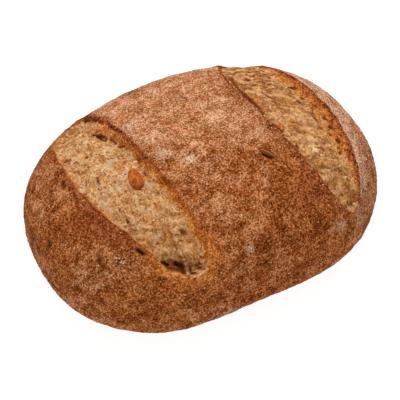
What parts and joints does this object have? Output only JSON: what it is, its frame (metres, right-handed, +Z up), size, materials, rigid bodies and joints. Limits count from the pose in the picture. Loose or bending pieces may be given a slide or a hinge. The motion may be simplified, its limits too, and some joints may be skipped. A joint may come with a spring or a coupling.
{
  "type": "bread loaf",
  "caption": "Oval hearth loaf of spelt bread with a domed brown crust, two wide opened slashes across the top and a flat base to rest on.",
  "frame": {"origin": "middle of the loaf's box at the flat base, on the surface it rests on", "axes": "+X along the loaf's length towards its narrower end, +Y across it, +Z up; the slash with the kernel is at -X"},
  "size_m": [0.2389, 0.1808, 0.0872],
  "materials": {
    "crust": "baked brown crust, rough, with fine flour and bran",
    "crumb": "stretched pale crumb in the slashes, matt, with bran flecks",
    "kernel": "baked whole kernel, satin"
  },
  "bodies": {
    "root": {"loaf": "crust"}
  },
  "joints": []
}
